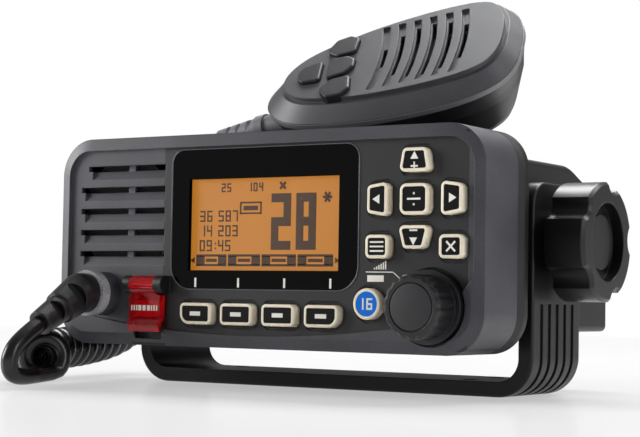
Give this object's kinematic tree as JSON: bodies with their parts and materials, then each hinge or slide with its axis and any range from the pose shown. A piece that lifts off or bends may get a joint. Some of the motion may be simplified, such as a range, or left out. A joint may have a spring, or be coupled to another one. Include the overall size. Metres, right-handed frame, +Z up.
{
  "type": "vhf marine radio",
  "caption": "Compact fixed-mount marine radio on a tilting bracket, with amber display, key pad, hinged distress key cover and a fist microphone on a curly cord.",
  "frame": {"origin": "on the mounting face under the middle of the bracket, in the centre of its four screw holes", "axes": "+X to the right seen from the front, +Y to the back, +Z up; the tilt axis runs along X at 47.6 mm height"},
  "size_m": [0.2033, 0.1675, 0.1241],
  "materials": {
    "bracket_plastic": "fine textured black glass-filled plastic",
    "knob_plastic": "satin black plastic",
    "panel_plastic": "fine textured black plastic",
    "panel_seal": "soft black rubber",
    "washer_rubber": "soft black rubber",
    "window_plastic": "hard coated clear window, printed black at its border",
    "display_glass": "amber liquid crystal display",
    "backlight_plastic": "white light box",
    "key_rubber": "cream translucent silicone rubber",
    "key_cap": "satin black cap with a cream rim",
    "key_blue": "satin blue cap with a cream rim",
    "red_clear": "clear red plastic",
    "red_plastic": "red plastic",
    "steel": "stainless steel",
    "stud_steel": "stainless steel stud",
    "circuit_board": "green circuit board",
    "speaker_metal": "pressed steel basket",
    "speaker_paper": "coated waterproof cone",
    "mesh_fabric": "fine black dust mesh",
    "chassis_metal": "black painted die-cast aluminium",
    "can_steel": "tinned steel can",
    "nickel": "nickel plated brass",
    "gland_plastic": "black nylon",
    "ring_plastic": "satin grey knurled ring",
    "boot_rubber": "black rubber",
    "cord_rubber": "glossy black polyurethane jacket",
    "mic_plastic": "dark grey textured plastic",
    "mic_trim": "grey plastic"
  },
  "bodies": {
    "bracket": {"mounting_bracket": "bracket_plastic", "curly_cord": "cord_rubber"},
    "radio": {"chassis": "chassis_metal", "front_panel": "panel_plastic", "panel_gasket": "panel_seal", "display_window": "window_plastic", "display_module": "display_glass", "display_backlight": "backlight_plastic", "keypad_mat": "key_rubber", "front_board": "circuit_board", "speaker_frame": "speaker_metal", "speaker_cone": "speaker_paper", "speaker_mesh": "mesh_fabric", "main_board": "circuit_board", "shield_cover": "can_steel", "antenna_connector": "nickel", "power_gland": "gland_plastic", "ground_screw": "nickel", "panel_screws": "steel", "board_screws": "steel", "distress_hinge_pin": "steel", "volume_encoder": "can_steel", "cord_gland": "ring_plastic", "cord_strain_relief": "boot_rubber", "tilt_washers": "washer_rubber", "cord_lead": "cord_rubber", "cord_mic_lead": "cord_rubber"},
    "left_knob": {"clamp_knob_left": "knob_plastic", "clamp_stud_left": "stud_steel"},
    "right_knob": {"clamp_knob_right": "knob_plastic", "clamp_stud_right": "stud_steel"},
    "volume_shaft": {"volume_spindle": "steel"},
    "volume_dial": {"volume_knob": "knob_plastic"},
    "distress_flap": {"distress_cover": "red_clear"},
    "distress_button": {"distress_key": "red_plastic"},
    "microphone": {"mic_front_shell": "mic_plastic", "mic_rear_shell": "mic_plastic", "mic_seam": "mic_trim", "mic_capsule": "can_steel", "mic_board": "circuit_board", "mic_hanger_stud": "steel", "mic_screws": "steel", "mic_strain_relief": "boot_rubber"},
    "talk_lever": {"ptt_lever": "mic_trim"},
    "key_soft_1_cap": {"key_soft_1": "key_cap"},
    "key_soft_2_cap": {"key_soft_2": "key_cap"},
    "key_soft_3_cap": {"key_soft_3": "key_cap"},
    "key_soft_4_cap": {"key_soft_4": "key_cap"},
    "key_channel_cap": {"key_channel": "key_blue"},
    "key_enter_cap": {"key_enter": "key_cap"},
    "key_up_cap": {"key_up": "key_cap"},
    "key_down_cap": {"key_down": "key_cap"},
    "key_left_cap": {"key_left": "key_cap"},
    "key_right_cap": {"key_right": "key_cap"},
    "key_menu_cap": {"key_menu": "key_cap"},
    "key_clear_cap": {"key_clear": "key_cap"},
    "mic_key_power_cap": {"mic_key_power": "mic_trim"},
    "mic_key_channel_cap": {"mic_key_channel": "mic_trim"},
    "mic_key_up_cap": {"mic_key_up": "mic_trim"},
    "mic_key_down_cap": {"mic_key_down": "mic_trim"}
  },
  "joints": [
    {"name": "radio_tilt", "type": "hinge", "parent": "bracket", "child": "radio", "pos_m": [0, 0, 0.0476], "axis": [1, 0, 0], "range_deg": [-20, 8], "deforming": ["curly_cord", "cord_lead", "cord_mic_lead"]},
    {"name": "left_knob_turn", "type": "hinge", "parent": "bracket", "child": "left_knob", "pos_m": [-0.0727, 0, 0.0476], "axis": [1, 0, 0], "continuous": true},
    {"name": "right_knob_turn", "type": "hinge", "parent": "bracket", "child": "right_knob", "pos_m": [0.0727, 0, 0.0476], "axis": [1, 0, 0], "continuous": true},
    {"name": "volume_push", "type": "slide", "parent": "radio", "child": "volume_shaft", "axis": [0, 1, 0], "range_m": [0, 0.0008], "stiffness_N_per_m": 1500, "springref_m": -0.001},
    {"name": "volume_turn", "type": "hinge", "parent": "volume_shaft", "child": "volume_dial", "pos_m": [0.0613, -0.06, 0.027], "axis": [0, 1, 0], "continuous": true},
    {"name": "key_soft_1_press", "type": "slide", "parent": "radio", "child": "key_soft_1_cap", "axis": [0, 1, 0], "range_m": [0, 0.0006], "stiffness_N_per_m": 1500, "springref_m": -0.0008},
    {"name": "key_soft_2_press", "type": "slide", "parent": "radio", "child": "key_soft_2_cap", "axis": [0, 1, 0], "range_m": [0, 0.0006], "stiffness_N_per_m": 1500, "springref_m": -0.0008},
    {"name": "key_soft_3_press", "type": "slide", "parent": "radio", "child": "key_soft_3_cap", "axis": [0, 1, 0], "range_m": [0, 0.0006], "stiffness_N_per_m": 1500, "springref_m": -0.0008},
    {"name": "key_soft_4_press", "type": "slide", "parent": "radio", "child": "key_soft_4_cap", "axis": [0, 1, 0], "range_m": [0, 0.0006], "stiffness_N_per_m": 1500, "springref_m": -0.0008},
    {"name": "key_channel_press", "type": "slide", "parent": "radio", "child": "key_channel_cap", "axis": [0, 1, 0], "range_m": [0, 0.0006], "stiffness_N_per_m": 1500, "springref_m": -0.0008},
    {"name": "key_enter_press", "type": "slide", "parent": "radio", "child": "key_enter_cap", "axis": [0, 1, 0], "range_m": [0, 0.0006], "stiffness_N_per_m": 1500, "springref_m": -0.0008},
    {"name": "key_up_press", "type": "slide", "parent": "radio", "child": "key_up_cap", "axis": [0, 1, 0], "range_m": [0, 0.0006], "stiffness_N_per_m": 1500, "springref_m": -0.0008},
    {"name": "key_down_press", "type": "slide", "parent": "radio", "child": "key_down_cap", "axis": [0, 1, 0], "range_m": [0, 0.0006], "stiffness_N_per_m": 1500, "springref_m": -0.0008},
    {"name": "key_left_press", "type": "slide", "parent": "radio", "child": "key_left_cap", "axis": [0, 1, 0], "range_m": [0, 0.0006], "stiffness_N_per_m": 1500, "springref_m": -0.0008},
    {"name": "key_right_press", "type": "slide", "parent": "radio", "child": "key_right_cap", "axis": [0, 1, 0], "range_m": [0, 0.0006], "stiffness_N_per_m": 1500, "springref_m": -0.0008},
    {"name": "key_menu_press", "type": "slide", "parent": "radio", "child": "key_menu_cap", "axis": [0, 1, 0], "range_m": [0, 0.0006], "stiffness_N_per_m": 1500, "springref_m": -0.0008},
    {"name": "key_clear_press", "type": "slide", "parent": "radio", "child": "key_clear_cap", "axis": [0, 1, 0], "range_m": [0, 0.0006], "stiffness_N_per_m": 1500, "springref_m": -0.0008},
    {"name": "distress_cover_open", "type": "hinge", "parent": "radio", "child": "distress_flap", "pos_m": [-0.041, -0.0572, 0.0326], "axis": [-1, 0, 0], "range_deg": [0, 110], "stiffness_Nm_per_rad": 0.002, "springref_deg": -22.92},
    {"name": "distress_press", "type": "slide", "parent": "radio", "child": "distress_button", "axis": [0, 1, 0], "range_m": [0, 0.0006], "stiffness_N_per_m": 1500, "springref_m": -0.0008},
    {"name": "mic_lift", "type": "slide", "parent": "radio", "child": "microphone", "axis": [0, 0, 1], "range_m": [0, 0.05], "deforming": ["cord_mic_lead"]},
    {"name": "mic_key_power_press", "type": "slide", "parent": "microphone", "child": "mic_key_power_cap", "axis": [0.0067, 0.6937, -0.7203], "range_m": [0, 0.0004], "stiffness_N_per_m": 1500, "springref_m": -0.0008},
    {"name": "mic_key_channel_press", "type": "slide", "parent": "microphone", "child": "mic_key_channel_cap", "axis": [0.0067, 0.6937, -0.7203], "range_m": [0, 0.0004], "stiffness_N_per_m": 1500, "springref_m": -0.0008},
    {"name": "mic_key_up_press", "type": "slide", "parent": "microphone", "child": "mic_key_up_cap", "axis": [0.0067, 0.6937, -0.7203], "range_m": [0, 0.0004], "stiffness_N_per_m": 1500, "springref_m": -0.0008},
    {"name": "mic_key_down_press", "type": "slide", "parent": "microphone", "child": "mic_key_down_cap", "axis": [0.0067, 0.6937, -0.7203], "range_m": [0, 0.0004], "stiffness_N_per_m": 1500, "springref_m": -0.0008},
    {"name": "push_to_talk", "type": "slide", "parent": "microphone", "child": "talk_lever", "axis": [0.2873, -0.6912, -0.663], "range_m": [0, 0.0015], "stiffness_N_per_m": 1200, "springref_m": -0.001}
  ]
}
